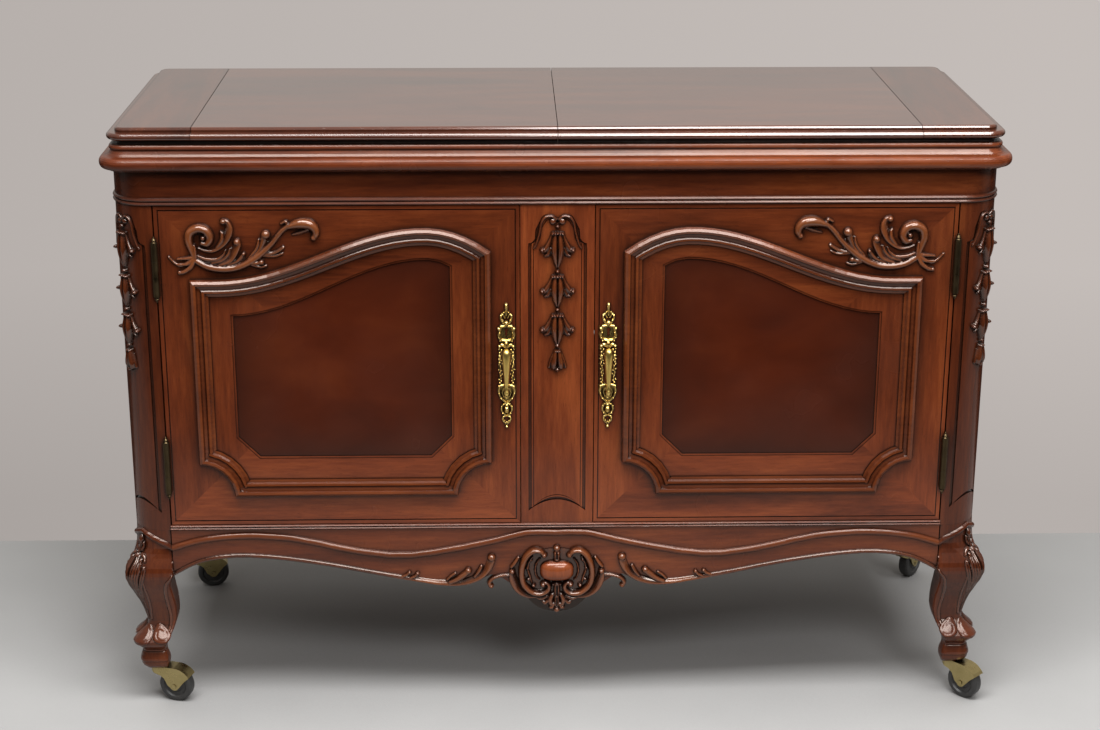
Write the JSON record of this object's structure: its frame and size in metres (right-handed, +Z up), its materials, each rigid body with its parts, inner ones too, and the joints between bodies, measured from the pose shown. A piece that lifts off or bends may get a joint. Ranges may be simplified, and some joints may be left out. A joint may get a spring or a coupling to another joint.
{
  "type": "radio phonograph console",
  "caption": "Carved cabriole-leg console on casters: two lids over changer and radio wells, two doors over speaker and record bays.",
  "frame": {"origin": "on the floor, under the middle of the console", "axes": "+X to the right across the front, -Y out of the doors, +Z up"},
  "size_m": [1.2641, 0.4908, 0.87],
  "materials": {
    "mahogany": "glossy lacquered red-brown mahogany with dark glaze in the recesses",
    "inner_wood": "satin stained inner wood",
    "hardboard": "matt brown pressed board",
    "bright_brass": "polished cast brass",
    "aged_brass": "antiqued brass",
    "steel": "plated steel",
    "wheel_rubber": "black moulded rubber",
    "brown_enamel": "brown hammered enamel",
    "dark_bakelite": "polished dark bakelite",
    "walnut_bakelite": "mottled brown bakelite",
    "dial_paint": "cream printed dial",
    "pointer_red": "red enamel",
    "chassis_metal": "dull plated chassis steel",
    "cone_paper": "dark pulp paper",
    "grille_cloth": "woven gold and brown grille cloth"
  },
  "bodies": {
    "cabinet": {"corner_posts": "mahogany", "side_panels": "mahogany", "back_panel": "hardboard", "case_floor": "mahogany", "centre_partition": "inner_wood", "centre_stile": "mahogany", "top_rails": "mahogany", "cornice": "mahogany", "fixed_top_ends": "mahogany", "lid_hinge_seats": "aged_brass", "door_hinge_posts": "aged_brass", "front_apron": "mahogany", "side_rear_aprons": "mahogany", "front_left_leg": "mahogany", "front_right_leg": "mahogany", "rear_left_leg": "mahogany", "rear_right_leg": "mahogany", "apron_cartouche": "mahogany", "motor_board": "inner_wood", "changer_plate": "brown_enamel", "spindle": "steel", "arm_base": "brown_enamel", "radio_panel": "mahogany", "dial_face": "dial_paint", "radio_chassis": "chassis_metal", "speaker_frame": "chassis_metal", "speaker_cone": "cone_paper", "speaker_baffle": "inner_wood", "grille_cloth": "grille_cloth", "record_rack": "inner_wood"},
    "left_lid": {"left_lid": "mahogany", "left_lid_leaves": "aged_brass"},
    "right_lid": {"right_lid": "mahogany", "right_lid_leaves": "aged_brass"},
    "left_door": {"left_door": "mahogany", "left_door_moulding": "mahogany", "left_pull": "bright_brass", "left_door_leaves": "aged_brass", "lock_case": "aged_brass"},
    "right_door": {"right_door": "mahogany", "right_door_moulding": "mahogany", "right_pull": "bright_brass", "right_door_leaves": "aged_brass"},
    "lock_bolt": {"lock_bolt": "steel"},
    "platter": {"platter": "brown_enamel"},
    "arm_yoke": {"arm_yoke": "steel"},
    "tonearm": {"tonearm": "dark_bakelite"},
    "changer_knob": {"changer_knob": "dark_bakelite"},
    "dial_pointer": {"dial_pointer": "pointer_red"},
    "tuning_knob": {"tuning_knob": "walnut_bakelite"},
    "volume_knob": {"volume_knob": "walnut_bakelite"},
    "tone_knob": {"tone_knob": "walnut_bakelite"},
    "front_left_caster": {"front_left_fork": "bright_brass"},
    "front_left_wheel": {"front_left_wheel": "wheel_rubber"},
    "front_right_caster": {"front_right_fork": "bright_brass"},
    "front_right_wheel": {"front_right_wheel": "wheel_rubber"},
    "rear_left_caster": {"rear_left_fork": "bright_brass"},
    "rear_left_wheel": {"rear_left_wheel": "wheel_rubber"},
    "rear_right_caster": {"rear_right_fork": "bright_brass"},
    "rear_right_wheel": {"rear_right_wheel": "wheel_rubber"}
  },
  "joints": [
    {"name": "left_lid_hinge", "type": "hinge", "parent": "cabinet", "child": "left_lid", "pos_m": [-0.2495, 0.2234, 0.848], "axis": [-1, 0, 0], "range_deg": [0, 85]},
    {"name": "right_lid_hinge", "type": "hinge", "parent": "cabinet", "child": "right_lid", "pos_m": [0.2495, 0.2234, 0.848], "axis": [-1, 0, 0], "range_deg": [0, 85]},
    {"name": "left_door_hinge", "type": "hinge", "parent": "cabinet", "child": "left_door", "pos_m": [-0.557, -0.2246, 0.5245], "axis": [0, 0, -1], "range_deg": [0, 110]},
    {"name": "right_door_hinge", "type": "hinge", "parent": "cabinet", "child": "right_door", "pos_m": [0.557, -0.2246, 0.5245], "axis": [0, 0, 1], "range_deg": [0, 110]},
    {"name": "lock_bolt_slide", "type": "slide", "parent": "left_door", "child": "lock_bolt", "axis": [1, 0, 0], "range_m": [0, 0.01]},
    {"name": "platter_spin", "type": "hinge", "parent": "cabinet", "child": "platter", "pos_m": [-0.28, -0.003, 0.76], "axis": [0, 0, 1], "continuous": true},
    {"name": "arm_swing", "type": "hinge", "parent": "cabinet", "child": "arm_yoke", "pos_m": [-0.084, 0.102, 0.77], "axis": [0, 0, -1], "range_deg": [0, 47]},
    {"name": "arm_lift", "type": "hinge", "parent": "arm_yoke", "child": "tonearm", "pos_m": [-0.084, 0.102, 0.784], "axis": [-1, 0, 0], "range_deg": [0, 10]},
    {"name": "changer_knob_turn", "type": "hinge", "parent": "cabinet", "child": "changer_knob", "pos_m": [-0.13625, -0.136, 0.75], "axis": [0, 0, 1], "range_deg": [0, 120]},
    {"name": "tuning_turn", "type": "hinge", "parent": "cabinet", "child": "tuning_knob", "pos_m": [0.36425, -0.092, 0.79], "axis": [0, 0, -1], "range_deg": [-720, 720]},
    {"name": "pointer_slide", "type": "slide", "parent": "cabinet", "child": "dial_pointer", "axis": [1, 0, 0], "range_m": [-0.11, 0.11]},
    {"name": "volume_turn", "type": "hinge", "parent": "cabinet", "child": "volume_knob", "pos_m": [0.13625, -0.092, 0.79], "axis": [0, 0, -1], "range_deg": [0, 300]},
    {"name": "tone_turn", "type": "hinge", "parent": "cabinet", "child": "tone_knob", "pos_m": [0.21425, -0.092, 0.79], "axis": [0, 0, -1], "range_deg": [0, 300]},
    {"name": "front_left_swivel", "type": "hinge", "parent": "cabinet", "child": "front_left_caster", "pos_m": [-0.592, -0.197, 0.06], "axis": [0, 0, 1], "continuous": true},
    {"name": "front_left_roll", "type": "hinge", "parent": "front_left_caster", "child": "front_left_wheel", "pos_m": [-0.56522, -0.20519, 0.0254], "axis": [0.2924, 0.9563, 0], "continuous": true},
    {"name": "front_right_swivel", "type": "hinge", "parent": "cabinet", "child": "front_right_caster", "pos_m": [0.592, -0.197, 0.06], "axis": [0, 0, 1], "continuous": true},
    {"name": "front_right_roll", "type": "hinge", "parent": "front_right_caster", "child": "front_right_wheel", "pos_m": [0.61145, -0.21714, 0.0254], "axis": [0.7193, 0.6947, 0], "continuous": true},
    {"name": "rear_left_swivel", "type": "hinge", "parent": "cabinet", "child": "rear_left_caster", "pos_m": [-0.592, 0.197, 0.06], "axis": [0, 0, 1], "continuous": true},
    {"name": "rear_left_roll", "type": "hinge", "parent": "rear_left_caster", "child": "rear_left_wheel", "pos_m": [-0.56427, 0.2009, 0.0254], "axis": [-0.1392, 0.9903, 0], "continuous": true},
    {"name": "rear_right_swivel", "type": "hinge", "parent": "cabinet", "child": "rear_right_caster", "pos_m": [0.592, 0.197, 0.06], "axis": [0, 0, 1], "continuous": true},
    {"name": "rear_right_roll", "type": "hinge", "parent": "rear_right_caster", "child": "rear_right_wheel", "pos_m": [0.61, 0.21845, 0.0254], "axis": [-0.766, 0.6428, 0], "continuous": true}
  ],
  "couplings": [
    {"joint": "pointer_slide", "follows": "tuning_turn", "m_per_rad": 0.0087535}
  ]
}
